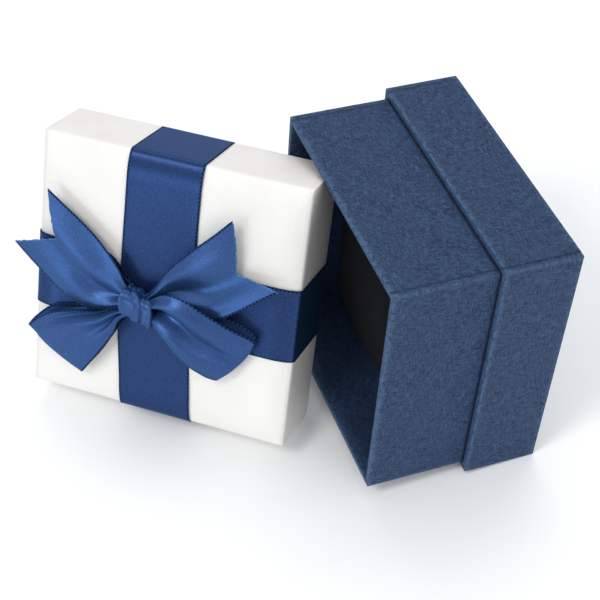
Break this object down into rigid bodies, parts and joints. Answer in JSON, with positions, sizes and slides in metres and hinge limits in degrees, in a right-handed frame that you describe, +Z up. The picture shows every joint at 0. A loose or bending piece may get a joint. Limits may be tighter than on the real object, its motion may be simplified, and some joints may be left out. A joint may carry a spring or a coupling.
{
  "type": "jewelry gift box",
  "caption": "Square shoulder gift box lying open: linen-paper base with a tall neck and a velvet pad, and a padded white lid tied with a satin ribbon and bow.",
  "frame": {"origin": "on the ground under the middle of the whole arrangement's bounding box", "axes": "+Z up; +X from the leaning lid towards the underside of the base, along the longest extent; +Y away from the viewer"},
  "size_m": [0.1546, 0.1264, 0.0932],
  "materials": {
    "greyboard": "matte",
    "corner_tape": "matte",
    "linen_paper": "matte",
    "lining_paper": "matte",
    "white_paper": "satin",
    "satin": "satin",
    "velvet": "matte",
    "foam": "matte"
  },
  "bodies": {
    "base": {"plinth_board": "greyboard", "plinth_corner_tapes": "corner_tape", "plinth_wrap": "linen_paper", "neck_board": "greyboard", "neck_corner_tapes": "corner_tape", "neck_wrap": "linen_paper", "floor_lining": "lining_paper"},
    "insert": {"insert_card": "greyboard", "insert_foam": "foam", "insert_velvet": "velvet"},
    "lid": {"lid_board": "greyboard", "lid_corner_tapes": "corner_tape", "lid_padding": "foam", "lid_wrap": "white_paper", "lid_lining": "white_paper", "ribbon_upright": "satin", "ribbon_level": "satin", "bow_knot": "satin", "bow_left_tail": "satin", "bow_right_tail": "satin", "bow_left_loop": "satin", "bow_right_loop": "satin"}
  },
  "joints": [
    {"name": "lid_draw_out", "type": "slide", "parent": "base", "child": "lid", "axis": [-1, 0, 0], "range_m": [0, 0.06]},
    {"name": "insert_lift_out", "type": "slide", "parent": "base", "child": "insert", "axis": [-0.9969, 0, 0.0785], "range_m": [0, 0.006]}
  ]
}
